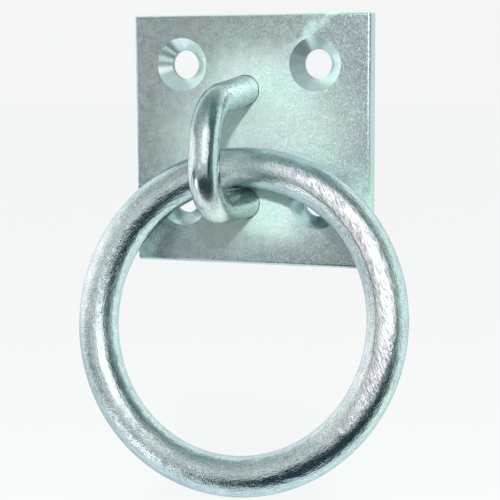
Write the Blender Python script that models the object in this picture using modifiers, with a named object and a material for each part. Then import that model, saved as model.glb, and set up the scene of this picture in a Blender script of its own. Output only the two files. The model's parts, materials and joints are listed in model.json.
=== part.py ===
"""Ring on plate, a lashing and hanging point for a deck, bulkhead or post.

A sheared square of steel plate carries an upright staple of round bar. The staple's two feet pass through the
plate and are headed into countersinks at its back, so that the plate still sits flat. A ring of thicker bar is
closed through the staple, hangs on its lower leg and swings up and down in it. Four countersunk holes take the
screws. All of it is bright zinc plated.

Metres, +Z up. The plate stands upright and faces -Y, and the origin is the middle of its back face.
"""

import math

import bmesh
import bpy
from mathutils import Vector

MM = 0.001

# Plate, sheared from sheet: the shear rolls its front edges over and leaves the back ones nearly sharp
PLATE_WIDTH = 50 * MM
PLATE_HEIGHT = 50 * MM
PLATE_THICKNESS = 3 * MM
FRONT_EDGE_ROUNDING = 0.7 * MM
BACK_EDGE_ROUNDING = 0.2 * MM

# Screw holes: two rows of two, drilled a little high and to the left
SCREW_HOLE_DIAMETER = 5.8 * MM
COUNTERSINK_DIAMETER = 10.6 * MM
COUNTERSINK_DEPTH = 1.9 * MM
SCREW_COLUMN_SPACING = 28.2 * MM
SCREW_ROW_SPACING = 27.2 * MM
SCREWS_LEFT_OF_MIDDLE = 0.45 * MM
SCREWS_ABOVE_MIDDLE = 1.4 * MM

# Staple: its path is two legs and a front, which would meet at two corners that the bends round off
STAPLE_BAR_DIAMETER = 6 * MM
STAPLE_FEET_SPACING = 22.6 * MM
STAPLE_LEFT_OF_MIDDLE = 1.05 * MM
STAPLE_BELOW_MIDDLE = 1.4 * MM
UPPER_CORNER_REACH = 20 * MM
LOWER_CORNER_REACH = 23 * MM
UPPER_LEG_LEAN = 2.1 * MM
LOWER_LEG_LEAN = 0.6 * MM
UPPER_BEND_RADIUS = 9.6 * MM
LOWER_BEND_RADIUS = 8.5 * MM

# Heads: each foot is spread into a cone at the back of the plate and stops just under its face
HEAD_DIAMETER = 9 * MM
HEAD_DEPTH = 1.5 * MM
HEAD_BELOW_FACE = 0.1 * MM
FOOT_CLEARANCE = 0.3 * MM

# Ring
RING_BAR_DIAMETER = 8 * MM
RING_INSIDE_DIAMETER = 52.4 * MM
RING_RIGHT_OF_MIDDLE = 1.2 * MM
RING_SWING_OUT = math.radians(11.3)
RUNNING_GAP = 0.3 * MM

# How far a cutter runs past the face that it cuts
CUT_OVERRUN = 1 * MM

HOLE_SIDES = 48
BAR_SIDES = 28
BEND_STEPS = 14
RING_STEPS = 96
RING_BAR_SIDES = 28

BAR_RADIUS = STAPLE_BAR_DIAMETER / 2
RING_BAR_RADIUS = RING_BAR_DIAMETER / 2
RING_MEAN_RADIUS = (RING_INSIDE_DIAMETER + RING_BAR_DIAMETER) / 2
PLATE_FRONT = -PLATE_THICKNESS
UPPER_FOOT_HEIGHT = STAPLE_FEET_SPACING / 2 - STAPLE_BELOW_MIDDLE
LOWER_FOOT_HEIGHT = -STAPLE_FEET_SPACING / 2 - STAPLE_BELOW_MIDDLE
HEAD_SLOPE = (HEAD_DIAMETER / 2 - BAR_RADIUS) / HEAD_DEPTH


def clear_scene():
    """Remove whatever objects the file opened with."""
    for old in list(bpy.data.objects):
        bpy.data.objects.remove(old, do_unlink=True)


def make_collection(name):
    collection = bpy.data.collections.new(name)
    bpy.context.scene.collection.children.link(collection)
    return collection


def zinc(name, colour, roughness):
    """Zinc plate: a bluish grey metal."""
    material = bpy.data.materials.new(name)
    material.use_nodes = True
    shader = material.node_tree.nodes["Principled BSDF"]
    shader.inputs["Base Color"].default_value = (*colour, 1)
    shader.inputs["Metallic"].default_value = 1
    shader.inputs["Roughness"].default_value = roughness
    return material


def turned_cutter(name, profile, x, z, cutters):
    """A turned solid that cuts a hole into the plate.

    The profile lists (radius, height) down the outer side, with heights counted outwards from the plate's front.
    """
    mesh = bpy.data.meshes.new(name)
    points = [(radius, 0, height) for radius, height in profile]
    mesh.from_pydata(points, [(i, i + 1) for i in range(len(points) - 1)], [])
    cutter = bpy.data.objects.new(name, mesh)
    turn = cutter.modifiers.new("turn", "SCREW")
    turn.steps = HOLE_SIDES
    turn.render_steps = HOLE_SIDES
    turn.use_merge_vertices = True
    turn.merge_threshold = 0.00001
    # The profile's height runs along -Y, straight out of the plate's front
    cutter.rotation_euler.x = math.radians(90)
    cutter.location = (x, PLATE_FRONT, z)
    cutter.hide_render = True
    cutter.display_type = "WIRE"
    cutters.objects.link(cutter)
    return cutter


def screw_hole_profile():
    """A straight bore under a conical countersink, which runs on past the front face."""
    mouth = COUNTERSINK_DIAMETER / 2
    bore = SCREW_HOLE_DIAMETER / 2
    slope = (mouth - bore) / COUNTERSINK_DEPTH
    bottom = -PLATE_THICKNESS - CUT_OVERRUN
    return [
        (0, CUT_OVERRUN),
        (mouth + slope * CUT_OVERRUN, CUT_OVERRUN),
        (bore, -COUNTERSINK_DEPTH),
        (bore, bottom),
        (0, bottom),
    ]


def foot_hole_profile():
    """A bore round the staple's foot, widened at the back to hold its head, with the clearance all round."""
    bore = BAR_RADIUS + FOOT_CLEARANCE
    cone_start = -PLATE_THICKNESS + HEAD_BELOW_FACE + HEAD_DEPTH
    # Clearance square to the cone's side, measured along the radius
    radial = FOOT_CLEARANCE * math.sqrt(1 + HEAD_SLOPE**2)
    widening = cone_start + (radial - FOOT_CLEARANCE) / HEAD_SLOPE
    bottom = -PLATE_THICKNESS - CUT_OVERRUN
    return [
        (0, CUT_OVERRUN),
        (bore, CUT_OVERRUN),
        (bore, widening),
        (bore + HEAD_SLOPE * (widening - bottom), bottom),
        (0, bottom),
    ]


def make_plate(parts, cutters):
    mesh = bpy.data.meshes.new("plate")
    shape = bmesh.new()
    bmesh.ops.create_cube(shape, size=1)
    bmesh.ops.scale(shape, vec=(PLATE_WIDTH, PLATE_THICKNESS, PLATE_HEIGHT), verts=shape.verts)
    bmesh.ops.translate(shape, vec=(0, PLATE_FRONT / 2, 0), verts=shape.verts)
    rounding = shape.edges.layers.float.new("bevel_weight_edge")
    for edge in shape.edges:
        at_back = all(vert.co.y > PLATE_FRONT / 2 for vert in edge.verts)
        edge[rounding] = BACK_EDGE_ROUNDING / FRONT_EDGE_ROUNDING if at_back else 1
    shape.to_mesh(mesh)
    shape.free()

    plate = bpy.data.objects.new("plate", mesh)
    parts.objects.link(plate)
    edges = plate.modifiers.new("rolled edges", "BEVEL")
    edges.limit_method = "WEIGHT"
    edges.width = FRONT_EDGE_ROUNDING
    edges.segments = 4

    for column in (-1, 1):
        for row in (-1, 1):
            turned_cutter(
                "screw_hole_cutter",
                screw_hole_profile(),
                column * SCREW_COLUMN_SPACING / 2 - SCREWS_LEFT_OF_MIDDLE,
                row * SCREW_ROW_SPACING / 2 + SCREWS_ABOVE_MIDDLE,
                cutters,
            )
    for height in (UPPER_FOOT_HEIGHT, LOWER_FOOT_HEIGHT):
        turned_cutter("foot_hole_cutter", foot_hole_profile(), -STAPLE_LEFT_OF_MIDDLE, height, cutters)

    holes = plate.modifiers.new("holes", "BOOLEAN")
    holes.operand_type = "COLLECTION"
    holes.collection = cutters
    holes.solver = "EXACT"

    mesh.shade_smooth()
    mesh.set_sharp_from_angle(angle=math.radians(30))
    mesh.materials.append(zinc("zinc_plate", (0.60, 0.68, 0.68), 0.34))
    return plate


def bend(before, corner, after, tangent):
    """Points of the arc that leaves the two lines of a corner at the given distance from it."""
    to_before = (before - corner).normalized()
    to_after = (after - corner).normalized()
    half_angle = to_before.angle(to_after) / 2
    middle = corner + (to_before + to_after).normalized() * tangent / math.cos(half_angle)
    start = corner + to_before * tangent - middle
    end = corner + to_after * tangent - middle
    turn = start.angle(end)
    points = []
    for step in range(BEND_STEPS + 1):
        share = step / BEND_STEPS
        points.append(
            middle + (start * math.sin((1 - share) * turn) + end * math.sin(share * turn)) / math.sin(turn)
        )
    return points


def staple_path():
    """Centre line of the bar from the upper foot's head to the lower one's, as (point, bar radius)."""
    x = -STAPLE_LEFT_OF_MIDDLE
    head_end = -HEAD_BELOW_FACE
    head_start = head_end - HEAD_DEPTH
    upper_foot = Vector((x, PLATE_FRONT, UPPER_FOOT_HEIGHT))
    lower_foot = Vector((x, PLATE_FRONT, LOWER_FOOT_HEIGHT))
    upper_corner = upper_foot + Vector((0, -UPPER_CORNER_REACH, -UPPER_LEG_LEAN))
    lower_corner = lower_foot + Vector((0, -LOWER_CORNER_REACH, LOWER_LEG_LEAN))

    # A bend takes its radius over the tangent of half the corner's angle from each of the corner's lines.
    # The two bends share the front of the staple, so neither may take more than its part of it.
    front = lower_corner - upper_corner
    upper_half = (upper_foot - upper_corner).angle(front) / 2
    lower_half = (lower_foot - lower_corner).angle(-front) / 2
    upper_tangent = UPPER_BEND_RADIUS / math.tan(upper_half)
    lower_tangent = LOWER_BEND_RADIUS / math.tan(lower_half)
    fit = min(1, front.length / (upper_tangent + lower_tangent))
    upper_bend = bend(upper_foot, upper_corner, lower_corner, upper_tangent * fit)
    lower_bend = bend(upper_corner, lower_corner, lower_foot, lower_tangent * fit)

    head_radius = HEAD_DIAMETER / 2
    path = [
        (Vector((x, head_end, UPPER_FOOT_HEIGHT)), head_radius),
        (Vector((x, head_start, UPPER_FOOT_HEIGHT)), BAR_RADIUS),
        (upper_foot, BAR_RADIUS),
    ]
    path += [(point, BAR_RADIUS) for point in upper_bend + lower_bend]
    path += [
        (lower_foot, BAR_RADIUS),
        (Vector((x, head_start, LOWER_FOOT_HEIGHT)), BAR_RADIUS),
        (Vector((x, head_end, LOWER_FOOT_HEIGHT)), head_radius),
    ]
    return path


def make_staple(parts):
    path = staple_path()
    curve = bpy.data.curves.new("staple", "CURVE")
    curve.dimensions = "3D"
    curve.bevel_depth = BAR_RADIUS
    # A round bevel has four sides and two more for each step of its resolution
    curve.bevel_resolution = (BAR_SIDES - 4) // 2
    curve.use_fill_caps = True
    bar = curve.splines.new("POLY")
    bar.points.add(len(path) - 1)
    for point, (place, radius) in zip(bar.points, path):
        point.co = (*place, 1)
        point.radius = radius / BAR_RADIUS
    staple = bpy.data.objects.new("staple", curve)
    parts.objects.link(staple)
    curve.materials.append(zinc("zinc_staple", (0.66, 0.74, 0.75), 0.2))
    return staple


def ring_seat():
    """Centre of the ring's bar where it hangs on the lower leg, close in front of the plate."""
    out = RUNNING_GAP + RING_BAR_RADIUS
    leg_height = LOWER_FOOT_HEIGHT + LOWER_LEG_LEAN * out / LOWER_CORNER_REACH
    # The ring's middle isn't over the leg, and its bar lies lower there than at its top
    aside = RING_RIGHT_OF_MIDDLE + STAPLE_LEFT_OF_MIDDLE
    drop = RING_MEAN_RADIUS - math.sqrt(RING_MEAN_RADIUS**2 - aside**2)
    height = leg_height + BAR_RADIUS + RUNNING_GAP + RING_BAR_RADIUS + drop
    return Vector((RING_RIGHT_OF_MIDDLE, PLATE_FRONT - out, height))


def make_ring(parts):
    """The ring, hung from an empty on the axis that it swings about."""
    pivot = bpy.data.objects.new("ring_pivot", None)
    pivot.location = ring_seat()
    pivot.rotation_euler.x = -RING_SWING_OUT
    parts.objects.link(pivot)

    bpy.ops.mesh.primitive_torus_add(
        major_radius=RING_MEAN_RADIUS,
        minor_radius=RING_BAR_RADIUS,
        major_segments=RING_STEPS,
        minor_segments=RING_BAR_SIDES,
    )
    ring = bpy.context.object
    ring.name = "ring"
    ring.data.name = "ring"
    for collection in list(ring.users_collection):
        collection.objects.unlink(ring)
    parts.objects.link(ring)
    ring.parent = pivot
    ring.location = (0, 0, -RING_MEAN_RADIUS)
    # The torus is made lying flat, and the ring hangs facing the front
    ring.rotation_euler = (math.radians(90), 0, 0)
    ring.data.shade_smooth()
    ring.data.materials.append(zinc("zinc_ring", (0.66, 0.74, 0.75), 0.22))
    return ring


clear_scene()
part_collection = make_collection("ring_on_plate")
cutter_collection = make_collection("cutters")
make_plate(part_collection, cutter_collection)
make_staple(part_collection)
make_ring(part_collection)
bpy.context.view_layer.update()
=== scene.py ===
"""The looks of a ring on plate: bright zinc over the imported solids, in a plain pale studio.

A square drilled plate, the staple of round bar that is headed through it, and the ring that swings in it.
Each is a finer mesh of the solid that it replaces, at the same place and of the same size.
Metres, +Z up. The plate faces -Y, and the origin is the middle of its back face.
"""

import json
import math

import bmesh
import bpy
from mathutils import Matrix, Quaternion, Vector


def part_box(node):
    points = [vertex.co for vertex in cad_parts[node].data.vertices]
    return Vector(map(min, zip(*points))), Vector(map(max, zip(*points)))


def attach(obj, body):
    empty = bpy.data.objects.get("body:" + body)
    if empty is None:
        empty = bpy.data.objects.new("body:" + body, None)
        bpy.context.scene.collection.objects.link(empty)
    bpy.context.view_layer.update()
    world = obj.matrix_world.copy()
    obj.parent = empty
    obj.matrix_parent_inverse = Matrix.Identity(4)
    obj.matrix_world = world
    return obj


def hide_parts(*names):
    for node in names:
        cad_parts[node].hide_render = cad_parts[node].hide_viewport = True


MM = 0.001

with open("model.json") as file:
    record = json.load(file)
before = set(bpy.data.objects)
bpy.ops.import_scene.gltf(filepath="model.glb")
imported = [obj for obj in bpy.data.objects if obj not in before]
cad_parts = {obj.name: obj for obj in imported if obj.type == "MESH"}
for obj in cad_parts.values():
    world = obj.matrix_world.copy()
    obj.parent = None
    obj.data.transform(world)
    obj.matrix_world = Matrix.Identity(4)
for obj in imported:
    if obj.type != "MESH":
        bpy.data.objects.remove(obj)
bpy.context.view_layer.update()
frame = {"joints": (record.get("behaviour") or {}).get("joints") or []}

# Camera: close in front of the plate, to its right and above the ring, where the picture was taken from
CAMERA_PLACE = Vector((104.3, -279.5, 15.4)) * MM
CAMERA_AIM = Vector((-0.1, -3.0, -22.1)) * MM
CAMERA_ROLL = math.radians(-0.32)
CAMERA_LENS_MM = 106.5
CAMERA_NEAR_LIMIT = 10 * MM

camera_data = bpy.data.cameras.new("camera")
camera_data.lens = CAMERA_LENS_MM
camera_data.clip_start = CAMERA_NEAR_LIMIT
camera = bpy.data.objects.new("camera", camera_data)
camera.location = CAMERA_PLACE
level = (CAMERA_AIM - CAMERA_PLACE).to_track_quat("-Z", "Y")
camera.rotation_euler = (level @ Quaternion((0, 0, 1), CAMERA_ROLL)).to_euler()
bpy.context.scene.collection.objects.link(camera)
bpy.context.scene.camera = camera

# Plate: a sheared square of 3 mm steel sheet, its front edges rolled over by the shear. Four screw holes
# are drilled and turned out to countersinks, and two plain holes take the staple's feet. Bright zinc plated:
# satin and speckled over the sheet's rolled skin, duller in patches whose paler colour is a painted glow of
# light, and paler on its rolled edges, where the paleness is a painted highlight.
FRONT_EDGE_ROUNDING = 0.7 * MM
BACK_EDGE_ROUNDING = 0.2 * MM
EDGE_SEGMENTS = 6
SCREW_HOLE_DIAMETER = 5.8 * MM
COUNTERSINK_DIAMETER = 10.6 * MM
COUNTERSINK_DEPTH = 1.9 * MM
SCREW_COLUMN_SPACING = 28.2 * MM
SCREW_ROW_SPACING = 27.2 * MM
SCREWS_LEFT_OF_MIDDLE = 0.45 * MM
SCREWS_ABOVE_MIDDLE = 1.4 * MM
STAPLE_BAR_DIAMETER = 6 * MM
STAPLE_FEET_SPACING = 22.6 * MM
STAPLE_LEFT_OF_MIDDLE = 1.05 * MM
STAPLE_BELOW_MIDDLE = 1.4 * MM
HEAD_DIAMETER = 9 * MM
HEAD_DEPTH = 1.5 * MM
HEAD_BELOW_FACE = 0.1 * MM
FOOT_CLEARANCE = 0.08 * MM
RIM_WEAR = 0.12 * MM
RIM_SEGMENTS = 2
RIM_ANGLE = math.radians(35)
FLAT_ENOUGH = math.cos(math.radians(1))
CUT_OVERRUN = 0.5 * MM
HOLE_SIDES = 96
STOOD_UP = (math.radians(90), 0, 0)

plate_low, plate_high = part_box("plate")
plate_size = plate_high - plate_low
plate_front = plate_low.y
head_slope = (HEAD_DIAMETER - STAPLE_BAR_DIAMETER) / 2 / HEAD_DEPTH


def new_tree(name, sizes):
    """A geometry tree with one geometry input and output, and a named input for each size."""
    tree = bpy.data.node_groups.new(name, "GeometryNodeTree")
    tree.interface.new_socket(name="Geometry", in_out="INPUT", socket_type="NodeSocketGeometry")
    for size, kind in sizes.items():
        tree.interface.new_socket(name=size, in_out="INPUT", socket_type=kind)
    tree.interface.new_socket(name="Geometry", in_out="OUTPUT", socket_type="NodeSocketGeometry")
    return tree, tree.nodes.new("NodeGroupInput"), tree.nodes.new("NodeGroupOutput")


def feed(tree, socket, value):
    """Joins an input to another node's output, or sets it to a value."""
    if isinstance(value, bpy.types.NodeSocket):
        tree.links.new(value, socket)
    else:
        socket.default_value = value


def add_node(tree, kind, settings=None, **inputs):
    """A node with its settings made and its inputs fed, by their names with _ for each space."""
    node = tree.nodes.new(kind)
    for name, value in (settings or {}).items():
        setattr(node, name, value)
    for name, value in inputs.items():
        feed(tree, node.inputs[name.replace("_", " ")], value)
    return node


def result_of(tree, first, operation, second):
    """The result of one step of arithmetic."""
    node = tree.nodes.new("ShaderNodeMath")
    node.operation = operation
    for socket, value in zip(node.inputs, (first, second)):
        feed(tree, socket, value)
    return node.outputs[0]


def vector_result(tree, operation, *values):
    """The node of one step of arithmetic on vectors, whose Vector or Value output holds the result."""
    node = tree.nodes.new("ShaderNodeVectorMath")
    node.operation = operation
    for socket, value in zip(node.inputs, values):
        feed(tree, socket, value)
    return node


def as_plain_mesh(source, name, tree_values):
    """The shape that an object's modifiers give with these inputs, as a plain object in its place."""
    for modifier, values in tree_values.items():
        tree = source.modifiers[modifier].node_group
        for item in tree.interface.items_tree:
            if item.in_out == "INPUT" and item.name in values:
                source.modifiers[modifier][item.identifier] = values[item.name]
    bpy.context.view_layer.update()
    depsgraph = bpy.context.evaluated_depsgraph_get()
    mesh = bpy.data.meshes.new_from_object(source.evaluated_get(depsgraph), depsgraph=depsgraph)
    bpy.data.objects.remove(source, do_unlink=True)
    mesh.name = name
    piece = bpy.data.objects.new(name, mesh)
    bpy.context.scene.collection.objects.link(piece)
    return piece


def rounded_blank():
    """The sheared blank, as a box whose edges carry their share of the front rounding."""
    mesh = bpy.data.meshes.new("blank")
    shape = bmesh.new()
    bmesh.ops.create_cube(shape, size=1)
    bmesh.ops.scale(shape, vec=plate_size, verts=shape.verts)
    bmesh.ops.translate(shape, vec=(plate_low + plate_high) / 2, verts=shape.verts)
    rounding = shape.edges.layers.float.new("bevel_weight_edge")
    middle = (plate_low.y + plate_high.y) / 2
    for edge in shape.edges:
        at_back = all(vert.co.y > middle for vert in edge.verts)
        edge[rounding] = BACK_EDGE_ROUNDING / FRONT_EDGE_ROUNDING if at_back else 1
    shape.to_mesh(mesh)
    shape.free()
    blank = bpy.data.objects.new("blank", mesh)
    bpy.context.scene.collection.objects.link(blank)
    edges = blank.modifiers.new("rolled edges", "BEVEL")
    edges.limit_method = "WEIGHT"
    edges.width = FRONT_EDGE_ROUNDING
    edges.segments = EDGE_SEGMENTS
    return blank


def shade_with_flat_faces(mesh):
    """Smooth shading that stops where the plate's flat front and back begin."""
    shape = bmesh.new()
    shape.from_mesh(mesh)
    for face in shape.faces:
        face.smooth = True
    for edge in shape.edges:
        flat = [abs(face.normal.y) > FLAT_ENOUGH for face in edge.link_faces]
        turn = edge.calc_face_angle(0)
        edge.smooth = len(set(flat)) == 1 and turn < RIM_ANGLE
    shape.to_mesh(mesh)
    shape.free()


def turned_cut(tree, lower_radius, upper_radius, lower, height):
    """A turned cutter that stands out along -Y, from a height over the plate's front."""
    cone = add_node(tree, "GeometryNodeMeshCone", Vertices=HOLE_SIDES)
    for name, value in (("Radius Bottom", lower_radius), ("Radius Top", upper_radius), ("Depth", height)):
        tree.links.new(value, cone.inputs[name])
    lift = add_node(tree, "ShaderNodeCombineXYZ", Z=lower)
    raised = add_node(
        tree,
        "GeometryNodeTransform",
        Geometry=cone.outputs["Mesh"],
        Translation=lift.outputs[0],
    )
    return add_node(
        tree,
        "GeometryNodeTransform",
        Geometry=raised.outputs["Geometry"],
        Rotation=STOOD_UP,
    ).outputs["Geometry"]


def drilling_tree():
    """Cuts one turned hole at each point of a grid of columns and rows."""
    sizes = {
        "Lower radius": "NodeSocketFloat",
        "Upper radius": "NodeSocketFloat",
        "Lower end": "NodeSocketFloat",
        "Length": "NodeSocketFloat",
        "Column spacing": "NodeSocketFloat",
        "Columns": "NodeSocketInt",
        "Row spacing": "NodeSocketFloat",
        "Middle": "NodeSocketVector",
    }
    tree, given, result = new_tree("drilling", sizes)
    cutter = turned_cut(
        tree,
        given.outputs["Lower radius"],
        given.outputs["Upper radius"],
        given.outputs["Lower end"],
        given.outputs["Length"],
    )
    grid = add_node(
        tree,
        "GeometryNodeMeshGrid",
        Size_X=given.outputs["Column spacing"],
        Size_Y=given.outputs["Row spacing"],
        Vertices_X=given.outputs["Columns"],
        Vertices_Y=2,
    )
    upright = add_node(
        tree,
        "GeometryNodeTransform",
        Geometry=grid.outputs["Mesh"],
        Translation=given.outputs["Middle"],
        Rotation=STOOD_UP,
    )
    copies = add_node(
        tree,
        "GeometryNodeInstanceOnPoints",
        Points=upright.outputs["Geometry"],
        Instance=cutter,
    )
    solid = add_node(tree, "GeometryNodeRealizeInstances", Geometry=copies.outputs["Instances"])
    cut = tree.nodes.new("GeometryNodeMeshBoolean")
    cut.operation = "DIFFERENCE"
    cut.solver = "EXACT"
    tree.links.new(given.outputs["Geometry"], cut.inputs["Mesh 1"])
    tree.links.new(solid.outputs["Geometry"], cut.inputs["Mesh 2"])
    tree.links.new(cut.outputs["Mesh"], result.inputs["Geometry"])
    return tree


NOISE_ROUGHNESS = 0.55


def shader_tree(name):
    """A material with its Principled shader and its object coordinates."""
    material = bpy.data.materials.new(name)
    material.use_nodes = True
    tree = material.node_tree
    place = tree.nodes.new("ShaderNodeTexCoord").outputs["Object"]
    return material, tree, tree.nodes["Principled BSDF"], place


def noise(tree, place, size, detail, stretch=(1, 1, 1), turn=(0, 0, 0)):
    """Noise with spots of about the given size, stretched along the axes and then turned."""
    mapped = add_node(
        tree,
        "ShaderNodeMapping",
        {"vector_type": "TEXTURE"},
        Vector=place,
        Rotation=turn,
        Scale=tuple(size * along for along in stretch),
    )
    return add_node(
        tree,
        "ShaderNodeTexNoise",
        Vector=mapped.outputs["Vector"],
        Scale=1.0,
        Detail=detail,
        Roughness=NOISE_ROUGHNESS,
    ).outputs["Fac"]


def levels(tree, value, low, high, out_low=0.0, out_high=1.0):
    """A value stretched from one range to another, with soft ends."""
    node = add_node(
        tree,
        "ShaderNodeMapRange",
        {"interpolation_type": "SMOOTHSTEP"},
        Value=value,
        From_Min=low,
        From_Max=high,
        To_Min=out_low,
        To_Max=out_high,
    )
    return node.outputs["Result"]


def mix_colours(tree, share, first, second):
    """The first colour with a share of the second laid over it."""
    node = tree.nodes.new("ShaderNodeMix")
    node.data_type = "RGBA"
    feed(tree, node.inputs[0], share)
    colour_sockets = [socket for socket in node.inputs if socket.type == "RGBA"]
    for socket, value in zip(colour_sockets, (first, second)):
        feed(tree, socket, value if isinstance(value, bpy.types.NodeSocket) else (*value, 1))
    return next(socket for socket in node.outputs if socket.type == "RGBA")


def bump(tree, height, depth, under=None):
    """The surface's normal with a relief of the given depth, over the relief that is there."""
    node = add_node(tree, "ShaderNodeBump", Height=height, Strength=1.0, Distance=depth)
    if under is not None:
        tree.links.new(under, node.inputs["Normal"])
    return node.outputs["Normal"]


def inside_ellipse(tree, turned, first, second, softness):
    """One inside a unit circle of two of a vector's parts and nothing outside, with a soft edge."""
    parts = add_node(tree, "ShaderNodeSeparateXYZ", Vector=turned)
    flat = add_node(tree, "ShaderNodeCombineXYZ", X=parts.outputs[first], Y=parts.outputs[second])
    off_middle = vector_result(tree, "LENGTH", flat.outputs[0])
    return levels(tree, off_middle.outputs["Value"], 1 + softness, 1 - softness), parts


OUTLINE_DETAIL = 3.0


def moved_about(tree, place, size, reach):
    """A place moved by noise, so that a patch drawn on it gets a broken outline."""
    wander = add_node(tree, "ShaderNodeTexNoise", Vector=place, Scale=1 / size, Detail=OUTLINE_DETAIL)
    moved = vector_result(tree, "MULTIPLY_ADD", wander.outputs["Color"], (reach,) * 3, place)
    return moved.outputs["Vector"]


def patch(tree, moved, reach, across, up, half_width, half_height, softness, turn=0.0):
    """One inside an ellipse on X and Z and nothing outside, on a place that is moved about by a reach."""
    turned = add_node(
        tree,
        "ShaderNodeMapping",
        {"vector_type": "TEXTURE"},
        Vector=moved,
        Location=(across + reach / 2, 0, up + reach / 2),
        Rotation=(0, turn, 0),
        Scale=(half_width, 1, half_height),
    )
    return inside_ellipse(tree, turned.outputs["Vector"], "X", "Z", softness)[0]


PLATE_ZINC_GREY = (0.31, 0.385, 0.40)
PLATE_ZINC_WARM = (0.36, 0.385, 0.405)
PLATE_ZINC = (0.42, 0.51, 0.51)
# The duller patches' two colours are paler: a painted glow of light
PLATE_ZINC_DULL_GLOW = (0.40, 0.60, 0.53)
PLATE_ZINC_DULL_GLOW_WARM = (0.46, 0.60, 0.57)
PLATE_ZINC_SPECKLE_AND_HIGHLIGHT = (0.68, 0.81, 0.80)
# Patterns in the zinc: the size of their spots, their detail and their stretch
PATCHES = (1.6 * MM, 4)
CLOUDS = (7 * MM, 3)
WAVES = (16 * MM, 1)
ROLLED_GRAIN = (0.17 * MM, 2, (3, 1, 1))
CROSS_GRAIN = (0.17 * MM, 2, (1, 1, 3))
# The levels of each pattern at which it starts and is full
PATCH_LEVELS = (0.32, 0.66)
CLOUD_LEVELS = (0.40, 0.60)
DULL_GLOW_CLOUD_LEVELS = (0.38, 0.62)
SPECKLE_LEVELS = (0.52, 0.72)
GRAIN_LEVELS = (0.4, 0.75)
SPECKLE_SHARE = 0.62
# Towards the plate's right the speckle grows and the zinc is greyer
SPARKLE_ACROSS = (-20 * MM, 24 * MM)
SPARKLE = (0.5, 1.4)
GREYER_ACROSS = (8 * MM, 24 * MM)
GREYER_SHARE = 0.68
# How far out the rolled edges start and end, and how strong the highlight painted on them is
RIM_REACH = (24.3 * MM, 25.0 * MM)
RIM_SHARES = {"Z": 0.9, "X": 0.25}
RIM_HIGHLIGHT_SHARE = 0.75
# Where the zinc is duller and painted with a glow of light: middle across and up, half width and half height
# in mm, turn in degrees, share
DULL_AND_GLOW_PATCHES = {
    "middle": (2, -2, 20, 20, 0, 0.60),
    "round the upper foot": (3, 12, 10, 6, 10, 0.14),
    "beside the lower foot": (5, -14, 6, 6, 0, 0.35),
    "below the right rim": (23, -15, 3, 8, 0, 0.45),
    "over the right screw": (13.5, 22, 6.0, 0.9, -38, 0.45),
}
DULL_GLOW_SOFTNESS = 0.55
DULL_GLOW_OUTLINE = 4 * MM
DULL_GLOW_BROKEN = 5 * MM
DULLED_METALLIC = 0.40
DULLED_ROUGHNESS = 0.54
PLATE_ROUGHNESS = 0.31
PLATE_GRAIN_ROUGHNESS = 0.07
PLATE_WAVE_DEPTH = 0.25 * MM
PLATE_GRAIN_DEPTH = 0.034 * MM


def rim_share(tree, place):
    """How far out a place is on the plate's rolled edges, with less at its sides."""
    parts = add_node(tree, "ShaderNodeSeparateXYZ", Vector=place)
    share = 0.0
    for axis, most in RIM_SHARES.items():
        out = result_of(tree, parts.outputs[axis], "ABSOLUTE", 0)
        share = result_of(tree, levels(tree, out, *RIM_REACH, 0.0, most), "MAXIMUM", share)
    return share


def dull_and_glow_share(tree, place, rim):
    """The dullness of the zinc and its share of painted glow, on the rims and in patches whose outlines are
    broken by noise.
    """
    moved = moved_about(tree, place, DULL_GLOW_OUTLINE, DULL_GLOW_BROKEN)
    total = rim
    for across, up, half_width, half_height, turn, amount in DULL_AND_GLOW_PATCHES.values():
        sizes = [size * MM for size in (across, up, half_width, half_height)]
        inside = patch(tree, moved, DULL_GLOW_BROKEN, *sizes, DULL_GLOW_SOFTNESS, math.radians(turn))
        total = result_of(tree, total, "ADD", result_of(tree, inside, "MULTIPLY", amount))
    return result_of(tree, total, "MINIMUM", 1.0)


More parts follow.
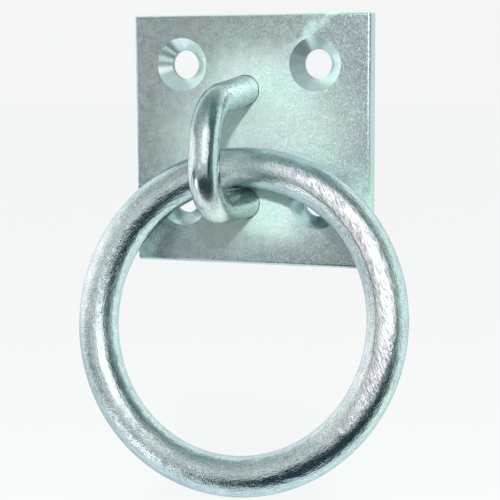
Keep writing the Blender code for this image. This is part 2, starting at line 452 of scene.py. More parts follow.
def plate_zinc():
    """Satin zinc with a fine dry grain, made duller in patches whose paler colour is a painted glow of
    light, and painted paler on its rolled edges as a highlight.
    """
    material, tree, shader, place = shader_tree("satin_plate_zinc")
    rim = rim_share(tree, place)
    dull_and_glow = dull_and_glow_share(tree, place, rim)
    patches = noise(tree, place, *PATCHES)
    clouds = noise(tree, place, *CLOUDS)
    waves = noise(tree, place, *WAVES)
    grain = result_of(tree, noise(tree, place, *ROLLED_GRAIN), "MAXIMUM", noise(tree, place, *CROSS_GRAIN))
    across = add_node(tree, "ShaderNodeSeparateXYZ", Vector=place).outputs["X"]
    sparkle = levels(tree, across, *SPARKLE_ACROSS, *SPARKLE)
    grey = mix_colours(tree, levels(tree, clouds, *CLOUD_LEVELS), PLATE_ZINC_GREY, PLATE_ZINC_WARM)
    colour = mix_colours(tree, levels(tree, patches, *PATCH_LEVELS), grey, PLATE_ZINC)
    greyer = levels(tree, across, *GREYER_ACROSS, 0.0, GREYER_SHARE)
    colour = mix_colours(tree, greyer, colour, PLATE_ZINC_GREY)
    # Paler colour in the duller patches: painted glow of light
    dull_glow_colour = mix_colours(tree, levels(tree, clouds, *DULL_GLOW_CLOUD_LEVELS), PLATE_ZINC_DULL_GLOW, PLATE_ZINC_DULL_GLOW_WARM)
    colour = mix_colours(tree, dull_and_glow, colour, dull_glow_colour)
    # Paler colour on the rolled edges: painted highlight
    colour = mix_colours(tree, result_of(tree, rim, "MULTIPLY", RIM_HIGHLIGHT_SHARE), colour, PLATE_ZINC_SPECKLE_AND_HIGHLIGHT)
    speckle = result_of(tree, levels(tree, grain, *SPECKLE_LEVELS, 0.0, SPECKLE_SHARE), "MULTIPLY", sparkle)
    colour = mix_colours(tree, speckle, colour, PLATE_ZINC_SPECKLE_AND_HIGHLIGHT)
    tree.links.new(colour, shader.inputs["Base Color"])
    tree.links.new(levels(tree, dull_and_glow, 0.0, 1.0, 1.0, DULLED_METALLIC), shader.inputs["Metallic"])
    rough = levels(tree, dull_and_glow, 0.0, 1.0, PLATE_ROUGHNESS, DULLED_ROUGHNESS)
    rougher = levels(tree, grain, *GRAIN_LEVELS, -PLATE_GRAIN_ROUGHNESS, PLATE_GRAIN_ROUGHNESS)
    tree.links.new(result_of(tree, rough, "ADD", rougher), shader.inputs["Roughness"])
    relief = bump(tree, waves, PLATE_WAVE_DEPTH)
    relief = bump(tree, result_of(tree, grain, "MULTIPLY", sparkle), PLATE_GRAIN_DEPTH, relief)
    tree.links.new(relief, shader.inputs["Normal"])
    return material


TURNED_ZINC = (0.77, 0.92, 0.90)
TURNED_METALLIC = 0.90
CUTTER_RINGS = (0.2 * MM, 2)
CUTTER_RING_LEVELS = (0.3, 0.7)
CUTTER_RING_DEPTH = 0.0010 * MM
TURNED_ROUGHNESS = (0.15, 0.22)


def turned_zinc():
    """Zinc over the turned countersinks: bright, with the fine rings that the cutter leaves."""
    material, tree, shader, place = shader_tree("turned_zinc")
    parts = add_node(tree, "ShaderNodeSeparateXYZ", Vector=place)
    across = result_of(tree, parts.outputs["X"], "ADD", SCREWS_LEFT_OF_MIDDLE)
    up = result_of(tree, parts.outputs["Z"], "SUBTRACT", SCREWS_ABOVE_MIDDLE)
    from_screw = add_node(
        tree,
        "ShaderNodeCombineXYZ",
        X=result_of(tree, result_of(tree, across, "ABSOLUTE", 0), "SUBTRACT", SCREW_COLUMN_SPACING / 2),
        Y=result_of(tree, result_of(tree, up, "ABSOLUTE", 0), "SUBTRACT", SCREW_ROW_SPACING / 2),
    )
    radius = vector_result(tree, "LENGTH", from_screw.outputs[0])
    round_mark = add_node(tree, "ShaderNodeCombineXYZ", X=radius.outputs["Value"])
    rings = noise(tree, round_mark.outputs[0], *CUTTER_RINGS)
    shader.inputs["Base Color"].default_value = (*TURNED_ZINC, 1)
    shader.inputs["Metallic"].default_value = TURNED_METALLIC
    tree.links.new(levels(tree, rings, *CUTTER_RING_LEVELS, *TURNED_ROUGHNESS), shader.inputs["Roughness"])
    tree.links.new(bump(tree, rings, CUTTER_RING_DEPTH), shader.inputs["Normal"])
    return material


# Dark colours in the bores: bare steel and painted shade
SHADED_DRILLED_STEEL_GREY = (0.20, 0.27, 0.28)
SHADED_DRILLED_STEEL = (0.34, 0.42, 0.42)
DRILL_MARKS = (0.12 * MM, 2, (12, 1, 12))
DRILL_MARK_LEVELS = (0.35, 0.65)
DRILL_ROUGH_LEVELS = (0.3, 0.7)
DRILLED_ROUGHNESS = (0.4, 0.55)
DRILL_MARK_DEPTH = 0.01 * MM


def shaded_drilled_steel():
    """Zinc is thin inside the drilled bores, where the drill's fine marks run round, and the bare steel
    there is painted dark as shade.
    """
    material, tree, shader, place = shader_tree("shaded_drilled_steel")
    marks = noise(tree, place, *DRILL_MARKS)
    colour = mix_colours(tree, levels(tree, marks, *DRILL_MARK_LEVELS), SHADED_DRILLED_STEEL_GREY, SHADED_DRILLED_STEEL)
    tree.links.new(colour, shader.inputs["Base Color"])
    shader.inputs["Metallic"].default_value = 1.0
    tree.links.new(levels(tree, marks, *DRILL_ROUGH_LEVELS, *DRILLED_ROUGHNESS), shader.inputs["Roughness"])
    tree.links.new(bump(tree, marks, DRILL_MARK_DEPTH), shader.inputs["Normal"])
    return material


def finish_screw_holes(mesh):
    """Gives each countersink's cone the second of the plate's three finishes, and its bore the third."""
    for face in mesh.polygons:
        across = abs(face.center.x + SCREWS_LEFT_OF_MIDDLE) - SCREW_COLUMN_SPACING / 2
        up = abs(face.center.z - SCREWS_ABOVE_MIDDLE) - SCREW_ROW_SPACING / 2
        in_mouth = math.hypot(across, up) < COUNTERSINK_DIAMETER / 2 + RIM_WEAR
        if in_mouth and abs(face.normal.y) < FLAT_ENOUGH:
            in_bore = math.hypot(across, up) < SCREW_HOLE_DIAMETER / 2 + RIM_WEAR
            face.material_index = 2 if in_bore else 1


drilling = drilling_tree()
screws_middle = Vector((-SCREWS_LEFT_OF_MIDDLE, plate_front, SCREWS_ABOVE_MIDDLE))
staple_middle = Vector((-STAPLE_LEFT_OF_MIDDLE, plate_front, -STAPLE_BELOW_MIDDLE))
mouth_slope = (COUNTERSINK_DIAMETER - SCREW_HOLE_DIAMETER) / 2 / COUNTERSINK_DEPTH
foot_radius = STAPLE_BAR_DIAMETER / 2 + FOOT_CLEARANCE
# The foot hole's cone keeps the clearance square to the head's side
head_clearance = FOOT_CLEARANCE * math.sqrt(1 + head_slope**2)
head_hole_at_back = HEAD_DIAMETER / 2 + head_clearance + head_slope * HEAD_BELOW_FACE

through = {"Lower end": -plate_size.y - CUT_OVERRUN, "Length": plate_size.y + 2 * CUT_OVERRUN}
screw_grid = {
    "Column spacing": SCREW_COLUMN_SPACING,
    "Columns": 2,
    "Row spacing": SCREW_ROW_SPACING,
    "Middle": screws_middle,
}
foot_grid = {"Columns": 1, "Row spacing": STAPLE_FEET_SPACING, "Middle": staple_middle}
cuts = {
    "screw bores": {
        **screw_grid,
        **through,
        "Lower radius": SCREW_HOLE_DIAMETER / 2,
        "Upper radius": SCREW_HOLE_DIAMETER / 2,
    },
    "countersinks": {
        **screw_grid,
        "Lower radius": SCREW_HOLE_DIAMETER / 2 - mouth_slope * CUT_OVERRUN,
        "Upper radius": COUNTERSINK_DIAMETER / 2 + mouth_slope * CUT_OVERRUN,
        "Lower end": -COUNTERSINK_DEPTH - CUT_OVERRUN,
        "Length": COUNTERSINK_DEPTH + 2 * CUT_OVERRUN,
    },
    "foot bores": {**foot_grid, **through, "Lower radius": foot_radius, "Upper radius": foot_radius},
    "head cones": {
        **foot_grid,
        "Lower radius": head_hole_at_back + head_slope * CUT_OVERRUN,
        "Upper radius": foot_radius - head_slope * CUT_OVERRUN,
        "Lower end": -plate_size.y - CUT_OVERRUN,
        "Length": (head_hole_at_back - foot_radius) / head_slope + 2 * CUT_OVERRUN,
    },
}
blank = rounded_blank()
for cut_name in cuts:
    blank.modifiers.new(cut_name, "NODES").node_group = drilling
rims = blank.modifiers.new("rims", "BEVEL")
rims.limit_method = "ANGLE"
rims.angle_limit = RIM_ANGLE
rims.width = RIM_WEAR
rims.segments = RIM_SEGMENTS
drilled_plate = as_plain_mesh(blank, "drilled_plate", cuts)
shade_with_flat_faces(drilled_plate.data)
drilled_plate.data.materials.clear()
drilled_plate.data.materials.append(plate_zinc())
drilled_plate.data.materials.append(turned_zinc())
drilled_plate.data.materials.append(shaded_drilled_steel())
finish_screw_holes(drilled_plate.data)
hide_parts("plate")
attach(drilled_plate, "fixed_plate")

# Staple: one length of 6 mm round steel bar, bent to an upright arch with its front leaning in at the top.
# Its feet pass through the plate and are spread to cones at the back. Bright zinc plated, with the slight
# ripples and dents that bending leaves: satin on its two legs, painted paler there as a highlight, and
# polished on its front.
UPPER_CORNER_REACH = 20 * MM
LOWER_CORNER_REACH = 23 * MM
UPPER_LEG_LEAN = 2.1 * MM
LOWER_LEG_LEAN = 0.6 * MM
UPPER_BEND_RADIUS = 9.6 * MM
LOWER_BEND_RADIUS = 8.5 * MM
BEND_STEPS = 28
STAPLE_SIDES = 72
UPPER_CORNER_POINT = 3
LOWER_CORNER_POINT = 4

upper_foot = staple_middle + Vector((0, 0, STAPLE_FEET_SPACING / 2))
lower_foot = staple_middle - Vector((0, 0, STAPLE_FEET_SPACING / 2))
upper_corner = upper_foot + Vector((0, -UPPER_CORNER_REACH, -UPPER_LEG_LEAN))
lower_corner = lower_foot + Vector((0, -LOWER_CORNER_REACH, LOWER_LEG_LEAN))
into_plate = Vector((0, plate_size.y, 0))


def bends_that_fit():
    """The radii of the two bends, which share the straight of the staple's front."""
    front = lower_corner - upper_corner
    upper_half = (upper_foot - upper_corner).angle(front) / 2
    lower_half = (lower_foot - lower_corner).angle(-front) / 2
    needed = UPPER_BEND_RADIUS / math.tan(upper_half) + LOWER_BEND_RADIUS / math.tan(lower_half)
    fit = min(1, front.length / needed)
    return UPPER_BEND_RADIUS * fit, LOWER_BEND_RADIUS * fit


def bar_path(name, places):
    """The corners of a bar's centre line, as a curve."""
    curve = bpy.data.curves.new(name, "CURVE")
    curve.dimensions = "3D"
    line = curve.splines.new("POLY")
    line.points.add(len(places) - 1)
    for point, place in zip(line.points, places):
        point.co = (*place, 1)
    path = bpy.data.objects.new(name, curve)
    bpy.context.scene.collection.objects.link(path)
    return path


def swept_bar(tree, path, sides, radius, material, scale=None, caps=False):
    """Sweeps a round bar along a path, and keeps where each point lies along and around the bar."""
    length = add_node(tree, "GeometryNodeSplineParameter").outputs["Length"]
    measured = add_node(
        tree,
        "GeometryNodeStoreNamedAttribute",
        {"data_type": "FLOAT", "domain": "POINT"},
        Geometry=path,
        Name="along",
        Value=length,
    )
    section = add_node(tree, "GeometryNodeCurvePrimitiveCircle", Resolution=sides, Radius=radius)
    spot = add_node(tree, "GeometryNodeInputPosition").outputs["Position"]
    marked = add_node(
        tree,
        "GeometryNodeStoreNamedAttribute",
        {"data_type": "FLOAT_VECTOR", "domain": "POINT"},
        Geometry=section.outputs["Curve"],
        Name="around",
        Value=spot,
    )
    bar = tree.nodes.new("GeometryNodeCurveToMesh")
    tree.links.new(measured.outputs["Geometry"], bar.inputs["Curve"])
    tree.links.new(marked.outputs["Geometry"], bar.inputs["Profile Curve"])
    if scale is not None:
        tree.links.new(scale, bar.inputs["Scale"])
    bar.inputs["Fill Caps"].default_value = caps
    along = add_node(tree, "GeometryNodeInputNamedAttribute", {"data_type": "FLOAT"}, Name="along")
    around = add_node(tree, "GeometryNodeInputNamedAttribute", {"data_type": "FLOAT_VECTOR"}, Name="around")
    split = add_node(tree, "ShaderNodeSeparateXYZ", Vector=around.outputs["Attribute"])
    grain = add_node(
        tree,
        "ShaderNodeCombineXYZ",
        X=along.outputs["Attribute"],
        Y=split.outputs["X"],
        Z=split.outputs["Y"],
    )
    grained = add_node(
        tree,
        "GeometryNodeStoreNamedAttribute",
        {"data_type": "FLOAT_VECTOR", "domain": "POINT"},
        Geometry=bar.outputs["Mesh"],
        Name="bar_grain",
        Value=grain.outputs["Vector"],
    )
    smooth = add_node(tree, "GeometryNodeSetShadeSmooth", Geometry=grained.outputs["Geometry"])
    whole = add_node(tree, "GeometryNodeRealizeInstances", Geometry=smooth.outputs["Geometry"])
    finish = add_node(tree, "GeometryNodeSetMaterial", Geometry=whole.outputs["Geometry"])
    finish.inputs["Material"].default_value = material
    return finish.outputs["Geometry"]


def bent_bar_tree(material):
    """Rounds the corners of the path to bends, spreads its two ends to heads, and sweeps the bar."""
    sizes = {
        "Upper bend radius": "NodeSocketFloat",
        "Lower bend radius": "NodeSocketFloat",
        "Bar radius": "NodeSocketFloat",
        "Head radius": "NodeSocketFloat",
        "Last corner": "NodeSocketInt",
    }
    tree, given, result = new_tree("bent bar", sizes)
    index = add_node(tree, "GeometryNodeInputIndex").outputs["Index"]
    # The path's two corners are rounded, and all its other points stay sharp
    at_upper = result_of(tree, index, "COMPARE", UPPER_CORNER_POINT)
    at_lower = result_of(tree, index, "COMPARE", LOWER_CORNER_POINT)
    upper = result_of(tree, at_upper, "MULTIPLY", given.outputs["Upper bend radius"])
    lower = result_of(tree, at_lower, "MULTIPLY", given.outputs["Lower bend radius"])
    radius = result_of(tree, upper, "ADD", lower)
    at_start = result_of(tree, index, "COMPARE", 0)
    at_end = result_of(tree, index, "GREATER_THAN", given.outputs["Last corner"])
    at_head = result_of(tree, at_start, "ADD", at_end)
    head_ratio = result_of(tree, given.outputs["Head radius"], "DIVIDE", given.outputs["Bar radius"])
    spread = result_of(tree, result_of(tree, head_ratio, "SUBTRACT", 1), "MULTIPLY", at_head)
    thickness = result_of(tree, spread, "ADD", 1)
    sized = add_node(
        tree,
        "GeometryNodeStoreNamedAttribute",
        {"data_type": "FLOAT", "domain": "POINT"},
        Geometry=given.outputs["Geometry"],
        Name="thickness",
        Value=thickness,
    )
    bent = add_node(
        tree,
        "GeometryNodeFilletCurve",
        {"mode": "POLY"},
        Curve=sized.outputs["Geometry"],
        Count=BEND_STEPS,
        Radius=radius,
    )
    scale = add_node(tree, "GeometryNodeInputNamedAttribute", {"data_type": "FLOAT"}, Name="thickness")
    swept = swept_bar(
        tree,
        bent.outputs["Curve"],
        STAPLE_SIDES,
        given.outputs["Bar radius"],
        material,
        scale=scale.outputs["Attribute"],
        caps=True,
    )
    tree.links.new(swept, result.inputs["Geometry"])
    return tree


STAPLE_ZINC = (0.65, 0.79, 0.77)
STAPLE_ZINC_GREY = (0.54, 0.65, 0.66)
STAPLE_ZINC_EDGE = (0.52, 0.56, 0.60)
STAPLE_GRAIN_DEPTH = 0.014 * MM
STAPLE_ROUGHNESS = 0.08
# A patch on a bar: its place along the bar and across it, its half length and its half width
STAPLE_POLISHED = (27.5 * MM, 0, 7.5 * MM, 90 * MM)
BAR_PATCH_SOFTNESS = 0.3
BAR_OUTLINE = 2 * MM
BAR_OUTLINE_BROKEN = 1.0 * MM
FRONT_EDGE = 0.6 * MM
# Dark of the pits, streaks and strokes, also used for the painted dark lines of reflection
BAR_ZINC_PITS_AND_PAINTED_LINES = (0.20, 0.27, 0.29)
# Paler colour off the staple's polished patch: painted highlight
BAR_ZINC_SATIN_HIGHLIGHT = (0.91, 0.98, 0.94)
# Paler colour on the ring's worn band: painted highlight
BAR_ZINC_WORN_HIGHLIGHT = (0.93, 0.90, 0.915)
# Patterns in the zinc: the size of their spots, their detail, their stretch and their turn
RIPPLES = (5 * MM, 1)
TINTS = (4 * MM, 3)
DENTS = (1.0 * MM, 2, (2, 1, 1))
STREAKS = (0.25 * MM, 2, (8, 1, 1))
BAR_GRAIN = (0.28 * MM, 2)
STROKES = (0.24 * MM, 2, (1, 6, 6), (0, math.radians(-27), 0))
# The levels of each pattern at which it starts and is full, and how much of it shows
TINT_LEVELS = (0.4, 0.65)
PIT_LEVELS = (0.60, 0.40)
PIT_SHARE = 0.25
STREAK_LEVELS = (0.50, 0.70)
STREAK_SHARE = 0.35
STROKE_LEVELS = (0.46, 0.62)
STROKE_SHARE = 0.12
WORN_STROKE_SHARE = 0.60
BAR_ROUGH_LEVELS = (0.3, 0.7)
BAR_GRAIN_ROUGHER = 0.06
WORN_ROUGHER = 0.38
SATIN_ROUGHER = 0.17
RIPPLE_DEPTH = 0.1 * MM
# How deep these are beside the bar's grain
DENTS_TO_GRAIN = 2
STREAKS_TO_GRAIN = 0.7
STROKES_TO_GRAIN = 1.2


def bar_patch(tree, moved, where):
    """The share of a patch on the bar, with its outline broken."""
    return patch(tree, moved, BAR_OUTLINE_BROKEN, *where, BAR_PATCH_SOFTNESS)


def bar_zinc(name, colours, grain_depth, smoothest, polished=None, worn_and_highlight=None, painted_lines=None):
    """Zinc on drawn bar, rippled and streaked: satin off its polished patch and stroked on its rubbed band,
    both painted paler as a highlight, with painted dark lines of reflection.
    """
    bright, grey, edge = colours
    material, tree, shader, place = shader_tree(name)
    grain_place = add_node(tree, "ShaderNodeAttribute", {"attribute_name": "bar_grain"}).outputs["Vector"]
    grain = noise(tree, grain_place, *BAR_GRAIN)
    streaks = noise(tree, grain_place, *STREAKS)
    strokes = noise(tree, place, *STROKES)
    behind = add_node(tree, "ShaderNodeSeparateXYZ", Vector=grain_place).outputs["Y"]
    in_front = levels(tree, behind, FRONT_EDGE, -FRONT_EDGE)
    moved = moved_about(tree, grain_place, BAR_OUTLINE, BAR_OUTLINE_BROKEN)
    worn_and_highlight_share = result_of(tree, bar_patch(tree, moved, worn_and_highlight), "MULTIPLY", in_front) if worn_and_highlight else 0.0
    satin_and_highlight_share = result_of(tree, 1.0, "SUBTRACT", bar_patch(tree, moved, polished)) if polished else 0.0
    colour = mix_colours(tree, levels(tree, noise(tree, place, *TINTS), *TINT_LEVELS), grey, bright)
    # Off the polished patch the zinc is painted paler, as a highlight
    colour = mix_colours(tree, satin_and_highlight_share, colour, BAR_ZINC_SATIN_HIGHLIGHT)
    # On the worn band the zinc is painted paler, as a highlight
    colour = mix_colours(tree, worn_and_highlight_share, colour, BAR_ZINC_WORN_HIGHLIGHT)
    pits = levels(tree, grain, *PIT_LEVELS, 0.0, PIT_SHARE)
    colour = mix_colours(tree, pits, colour, BAR_ZINC_PITS_AND_PAINTED_LINES)
    shown_streaks = levels(tree, streaks, *STREAK_LEVELS, 0.0, STREAK_SHARE)
    colour = mix_colours(tree, shown_streaks, colour, BAR_ZINC_PITS_AND_PAINTED_LINES)
    stroke_share = result_of(tree, worn_and_highlight_share, "MULTIPLY", WORN_STROKE_SHARE)
    stroke_share = result_of(tree, stroke_share, "ADD", STROKE_SHARE)
    scratch = result_of(tree, levels(tree, strokes, *STROKE_LEVELS), "MULTIPLY", stroke_share)
    colour = mix_colours(tree, scratch, colour, BAR_ZINC_PITS_AND_PAINTED_LINES)
    # Dark lines painted along the bar: painted reflection
    for painted_line, amount in (painted_lines or {}).items():
        line = result_of(tree, bar_patch(tree, moved, painted_line), "MULTIPLY", amount)
        colour = mix_colours(tree, result_of(tree, line, "MULTIPLY", in_front), colour, BAR_ZINC_PITS_AND_PAINTED_LINES)
    tree.links.new(colour, shader.inputs["Base Color"])
    shader.inputs["Metallic"].default_value = 1.0
    shader.inputs["Specular Tint"].default_value = (*edge, 1)
    rough = levels(tree, grain, *BAR_ROUGH_LEVELS, smoothest, smoothest + BAR_GRAIN_ROUGHER)
    rough = result_of(tree, rough, "ADD", result_of(tree, worn_and_highlight_share, "MULTIPLY", WORN_ROUGHER))
    rough = result_of(tree, rough, "ADD", result_of(tree, satin_and_highlight_share, "MULTIPLY", SATIN_ROUGHER))
    tree.links.new(rough, shader.inputs["Roughness"])
    relief = bump(tree, noise(tree, place, *RIPPLES), RIPPLE_DEPTH)
    relief = bump(tree, noise(tree, grain_place, *DENTS), DENTS_TO_GRAIN * grain_depth, relief)
    relief = bump(tree, streaks, STREAKS_TO_GRAIN * grain_depth, relief)
    shown_strokes = result_of(tree, strokes, "MULTIPLY", stroke_share)
    relief = bump(tree, shown_strokes, STROKES_TO_GRAIN * grain_depth, relief)
    relief = bump(tree, grain, grain_depth, relief)
    tree.links.new(relief, shader.inputs["Normal"])
    return material


staple_zinc = bar_zinc(
    "bright_staple_zinc",
    (STAPLE_ZINC, STAPLE_ZINC_GREY, STAPLE_ZINC_EDGE),
    STAPLE_GRAIN_DEPTH,
    STAPLE_ROUGHNESS,
    polished=STAPLE_POLISHED,
)
head_end = Vector((0, -HEAD_BELOW_FACE, 0))
head_start = Vector((0, -HEAD_BELOW_FACE - HEAD_DEPTH, 0))
staple_places = [
    upper_foot + into_plate + head_end,
    upper_foot + into_plate + head_start,
    upper_foot,
    upper_corner,
    lower_corner,
    lower_foot,
    lower_foot + into_plate + head_start,
    lower_foot + into_plate + head_end,
]
staple_line = bar_path("staple_line", staple_places)
staple_line.modifiers.new("bar", "NODES").node_group = bent_bar_tree(staple_zinc)
upper_bend, lower_bend = bends_that_fit()
staple_sizes = {
    "Upper bend radius": upper_bend,
    "Lower bend radius": lower_bend,
    "Bar radius": STAPLE_BAR_DIAMETER / 2,
    "Head radius": HEAD_DIAMETER / 2,
    "Last corner": len(staple_places) - 2,
}
bent_staple = as_plain_mesh(staple_line, "bent_staple", {"bar": staple_sizes})
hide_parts("staple")
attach(bent_staple, "fixed_plate")

# Ring: one length of 8 mm round steel bar, closed through the staple with its joint ground flush. It hangs
# on the staple's lower leg and leans out from the plate. Bright zinc plated over the drawn bar, with a band
# of leaning strokes worn on the front of its right side and painted paler there as a highlight, and with a
# painted dark line of reflection there and on its left.
RING_BAR_DIAMETER = 8 * MM
RING_INSIDE_DIAMETER = 52.4 * MM
RING_SWING_OUT = math.radians(11.3)
RING_STEPS = 288
RING_SIDES = 80
FIRST_POINT_UP = (math.radians(90), math.radians(-90), 0)
RING_ZINC = (0.77, 0.89, 0.88)
RING_ZINC_GREY = (0.68, 0.785, 0.79)
RING_ZINC_EDGE = (0.68, 0.70, 0.80)
RING_GRAIN_DEPTH = 0.060 * MM
RING_ROUGHNESS = 0.12
# The worn band, painted paler as a highlight, and the painted dark lines of reflection, as patches on the
# bar, with how dark each line is
RING_WORN_AND_HIGHLIGHT = (152 * MM, -1.2 * MM, 32 * MM, 1.9 * MM)
RING_PAINTED_LINES = {
    (157 * MM, 0.45 * MM, 27 * MM, 0.14 * MM): 0.75,
    (56 * MM, 2.85 * MM, 24 * MM, 0.55 * MM): 0.60,
}

ring_hinge = Vector(frame["joints"][0]["pos_m"])
ring_mean_radius = (RING_INSIDE_DIAMETER + RING_BAR_DIAMETER) / 2


def closed_ring_tree(material):
    """A circle of the bar's centre line, hung from its hinge, with the bar swept round it."""
    sizes = {
        "Mean radius": "NodeSocketFloat",
        "Bar radius": "NodeSocketFloat",
        "Swing": "NodeSocketVector",
        "Hinge": "NodeSocketVector",
    }
    tree, given, result = new_tree("closed ring", sizes)
    circle = add_node(
        tree,
        "GeometryNodeCurvePrimitiveCircle",
        Resolution=RING_STEPS,
        Radius=given.outputs["Mean radius"],
    )
    # The circle is made lying flat. Stood up, its first point goes to the top, where the hinge is
    drop = add_node(
        tree,
        "ShaderNodeCombineXYZ",
        Z=result_of(tree, given.outputs["Mean radius"], "MULTIPLY", -1),
    )
    stood = add_node(
        tree,
        "GeometryNodeTransform",
        Geometry=circle.outputs["Curve"],
        Translation=drop.outputs[0],
        Rotation=FIRST_POINT_UP,
    )
    hung = add_node(
        tree,
        "GeometryNodeTransform",
        Geometry=stood.outputs["Geometry"],
        Translation=given.outputs["Hinge"],
        Rotation=given.outputs["Swing"],
    )
    swept = swept_bar(
        tree,
        hung.outputs["Geometry"],
        RING_SIDES,
        given.outputs["Bar radius"],
        material,
    )
    tree.links.new(swept, result.inputs["Geometry"])
    return tree


def close_grain(mesh, length):
    """Moves the grain's places to the faces' corners, so that the ring's last step runs on to its end."""
    at_points = mesh.attributes["bar_grain"]
    places = [tuple(item.vector) for item in at_points.data]
    mesh.attributes.remove(at_points)
    at_corners = mesh.attributes.new("bar_grain", "FLOAT_VECTOR", "CORNER")
    for face in mesh.polygons:
        alongs = [places[vertex][0] for vertex in face.vertices]
        at_seam = max(alongs) - min(alongs) > length / 2
        for corner, vertex, along in zip(face.loop_indices, face.vertices, alongs):
            onward = length if at_seam and along < length / 2 else 0
            at_corners.data[corner].vector = (along + onward, *places[vertex][1:])


ring_zinc = bar_zinc(
    "bright_ring_zinc",
    (RING_ZINC, RING_ZINC_GREY, RING_ZINC_EDGE),
    RING_GRAIN_DEPTH,
    RING_ROUGHNESS,
    worn_and_highlight=RING_WORN_AND_HIGHLIGHT,
    painted_lines=RING_PAINTED_LINES,
)
ring_line = bpy.data.objects.new("ring_line", bpy.data.meshes.new("ring_line"))
bpy.context.scene.collection.objects.link(ring_line)
ring_line.modifiers.new("bar", "NODES").node_group = closed_ring_tree(ring_zinc)
ring_sizes = {
    "Mean radius": ring_mean_radius,
    "Bar radius": RING_BAR_DIAMETER / 2,
    "Swing": (-RING_SWING_OUT, 0, 0),
    "Hinge": ring_hinge,
}
closed_ring = as_plain_mesh(ring_line, "closed_ring", {"bar": ring_sizes})
close_grain(closed_ring.data, 2 * math.pi * ring_mean_radius)
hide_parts("ring")
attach(closed_ring, "swinging_ring")

# Floor: a plain sheet in pale paint, well below the ring. The camera and the metal see it nearly white, and
# it keeps a share of the object's soft shadow.
FLOOR_DROP = 130 * MM
FLOOR_FRONT = -1200 * MM
FLOOR_SIZE = 8.0
FLOOR_SHADOW_SHARE = 0.2
FLOOR_PAINT = (0.85, 0.97, 0.96)
FLOOR_ROUGHNESS = 0.9
FLOOR_SEEN = (0.933, 0.924, 0.926)


def pale_floor():
    """Pale paint that the camera sees almost white, and in which the object's shadow still shows."""
    material, tree, shader, _ = shader_tree("pale_floor")
    shader.inputs["Base Color"].default_value = (*FLOOR_PAINT, 1)
    shader.inputs["Roughness"].default_value = FLOOR_ROUGHNESS
    glow = add_node(tree, "ShaderNodeEmission", Color=(*FLOOR_SEEN, 1), Strength=1.0)
    mirrored = add_node(tree, "ShaderNodeEmission", Color=(*FLOOR_PAINT, 1), Strength=1.0)
    seen = add_node(tree, "ShaderNodeLightPath")
    in_metal = result_of(tree, seen.outputs["Is Glossy Ray"], "MAXIMUM", seen.outputs["Is Transmission Ray"])
    surface = shader.outputs[0]
    for shown, light in ((seen.outputs["Is Camera Ray"], glow), (in_metal, mirrored)):
        mixed = tree.nodes.new("ShaderNodeMixShader")
        share = result_of(tree, shown, "MULTIPLY", 1 - FLOOR_SHADOW_SHARE)
        tree.links.new(share, mixed.inputs[0])
        tree.links.new(surface, mixed.inputs[1])
        tree.links.new(light.outputs[0], mixed.inputs[2])
        surface = mixed.outputs[0]
    output = next(node for node in tree.nodes if node.type == "OUTPUT_MATERIAL")
    tree.links.new(surface, output.inputs["Surface"])
    return material


floor_place = (0, FLOOR_FRONT + FLOOR_SIZE / 2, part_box("ring")[0].z - FLOOR_DROP)
bpy.ops.mesh.primitive_plane_add(size=FLOOR_SIZE, location=floor_place)
floor = bpy.context.object
floor.name = "floor"
floor.data.materials.append(pale_floor())

# Studio: a small round tent of lit cloth stands close about the object, and the camera looks through it. It
# is pale behind and dimmer in front, with windows, and with the dark of the camera's own side. Outside it
# stand a small lamp for the shadows and a larger one that the metal mirrors.
TENT_MIDDLE = Vector((0, -20, -20)) * MM
TENT_RADIUS = 180 * MM
TENT_ROUNDNESS = 5
TENT_PALE = (0.98, 1.13, 1.07)
TENT_DIM = (0.49, 0.505, 0.51)
DIM_MIDDLE = (10, 35)
DIM_REACH = (0.05, 0.40)
# Places on the cloth: azimuth and elevation in degrees from straight in front of the plate, half width, half
# height and turn in degrees, softness, and colour
TENT_PLACES = {
    "left side": (-100, -38, 50, 28, 0, 0.4, (0.78, 0.84, 0.87)),
    "top": (0, 90, 34, 34, 0, 0.4, (0.32, 0.41, 0.41)),
    "low front": (-10, -80, 45, 18, 0, 0.4, (0.86, 0.97, 1.08)),
    "dark low front": (34, -39, 56, 29, 13, 0.12, (0.024, 0.048, 0.062)),
    "dark right": (67, -4, 22, 17, 0, 0.3, (0.05, 0.105, 0.11)),
    "dark left": (-55, -9, 15, 10, 0, 0.4, (0.20, 0.23, 0.24)),
    "left window": (-100, 6, 55, 15, 10, 0.25, (1.42, 1.33, 1.32)),
    "low lamp": (-44, -25, 4, 8, 0, 0.3, (4.4, 4.1, 4.2)),
    "right haze": (32, 26, 46, 32, 0, 0.5, (0.86, 0.92, 0.92)),
    "right side": (71, 39, 21, 42, 0, 0.2, (0.16, 0.255, 0.26)),
    "dark right above": (67, 34, 10, 15, 0, 0.3, (0.09, 0.16, 0.165)),
    "dark right below": (57, 3, 10, 18, 0, 0.3, (0.04, 0.09, 0.095)),
    "window's tail": (-10, 5, 10, 5, 0, 0.4, (1.15, 1.10, 1.10)),
    "right window": (24, 26, 28, 20, 0, 0.15, (1.22, 1.16, 1.16)),
}
ROOM_PALE = (0.913, 0.920, 0.920)
KEY_DIRECTION = Vector((0.382, -1, 0.422)).normalized()
KEY_DISTANCE = 0.7
KEY_SIZE = 0.03
KEY_POWER = 6.3
SHEEN_SIZE = 0.12
SHEEN_POWER = 2.4


def direction(azimuth, elevation):
    """The way to a place on the tent, from angles in degrees from straight in front of the plate."""
    across, up = math.radians(azimuth), math.radians(elevation)
    return Vector((math.sin(across) * math.cos(up), -math.cos(across) * math.cos(up), math.sin(up)))


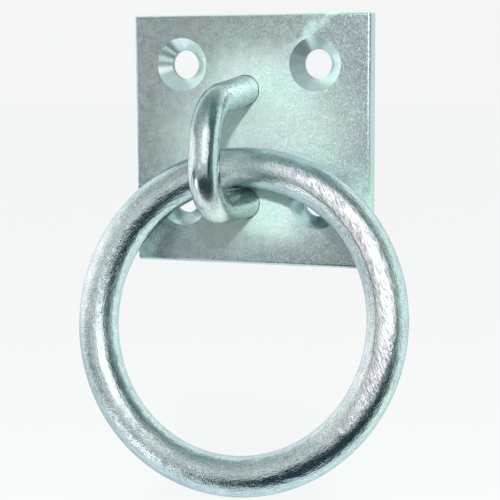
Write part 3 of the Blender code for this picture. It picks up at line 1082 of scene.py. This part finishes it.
def tent_cloth():
    """Lit cloth, coloured by its places as they are seen from the tent's middle."""
    material, tree, _, place = shader_tree("tent_cloth")
    looking = vector_result(tree, "NORMALIZE", place).outputs["Vector"]
    towards_dim = vector_result(tree, "DOT_PRODUCT", looking, direction(*DIM_MIDDLE))
    dimness = levels(tree, towards_dim.outputs["Value"], *DIM_REACH)
    colour = mix_colours(tree, dimness, TENT_PALE, TENT_DIM)
    for azimuth, elevation, half_width, half_height, turn, softness, shade in TENT_PLACES.values():
        turned = add_node(
            tree,
            "ShaderNodeMapping",
            {"vector_type": "TEXTURE"},
            Vector=looking,
            Rotation=(math.radians(turn), math.radians(-elevation), math.radians(azimuth - 90)),
            Scale=(1, math.sin(math.radians(half_width)), math.sin(math.radians(half_height))),
        )
        inside, parts = inside_ellipse(tree, turned.outputs["Vector"], "Y", "Z", softness)
        in_front = result_of(tree, parts.outputs["X"], "GREATER_THAN", 0)
        colour = mix_colours(tree, result_of(tree, inside, "MULTIPLY", in_front), colour, shade)
    glow = add_node(tree, "ShaderNodeEmission", Color=colour, Strength=1.0)
    output = next(node for node in tree.nodes if node.type == "OUTPUT_MATERIAL")
    tree.links.new(glow.outputs[0], output.inputs["Surface"])
    return material


bpy.ops.mesh.primitive_ico_sphere_add(subdivisions=TENT_ROUNDNESS, radius=TENT_RADIUS, location=TENT_MIDDLE)
tent = bpy.context.object
tent.name = "tent"
tent.data.materials.append(tent_cloth())
tent.visible_camera = False
tent.visible_shadow = False

world = bpy.data.worlds.new("pale_room")
world.use_nodes = True
world.node_tree.nodes["Background"].inputs["Color"].default_value = (*ROOM_PALE, 1)
bpy.context.scene.world = world


def add_lamp(name, size, power):
    """A round lamp in the key's direction, aimed at the middle of the plate."""
    data = bpy.data.lights.new(name, "AREA")
    data.shape = "DISK"
    data.size = size
    data.energy = power
    lamp = bpy.data.objects.new(name, data)
    lamp.location = KEY_DIRECTION * KEY_DISTANCE
    lamp.rotation_euler = (-KEY_DIRECTION).to_track_quat("-Z", "Y").to_euler()
    bpy.context.scene.collection.objects.link(lamp)
    return lamp


add_lamp("key", KEY_SIZE, KEY_POWER).visible_glossy = False
add_lamp("sheen", SHEEN_SIZE, SHEEN_POWER)

bpy.context.scene.view_settings.view_transform = "Standard"
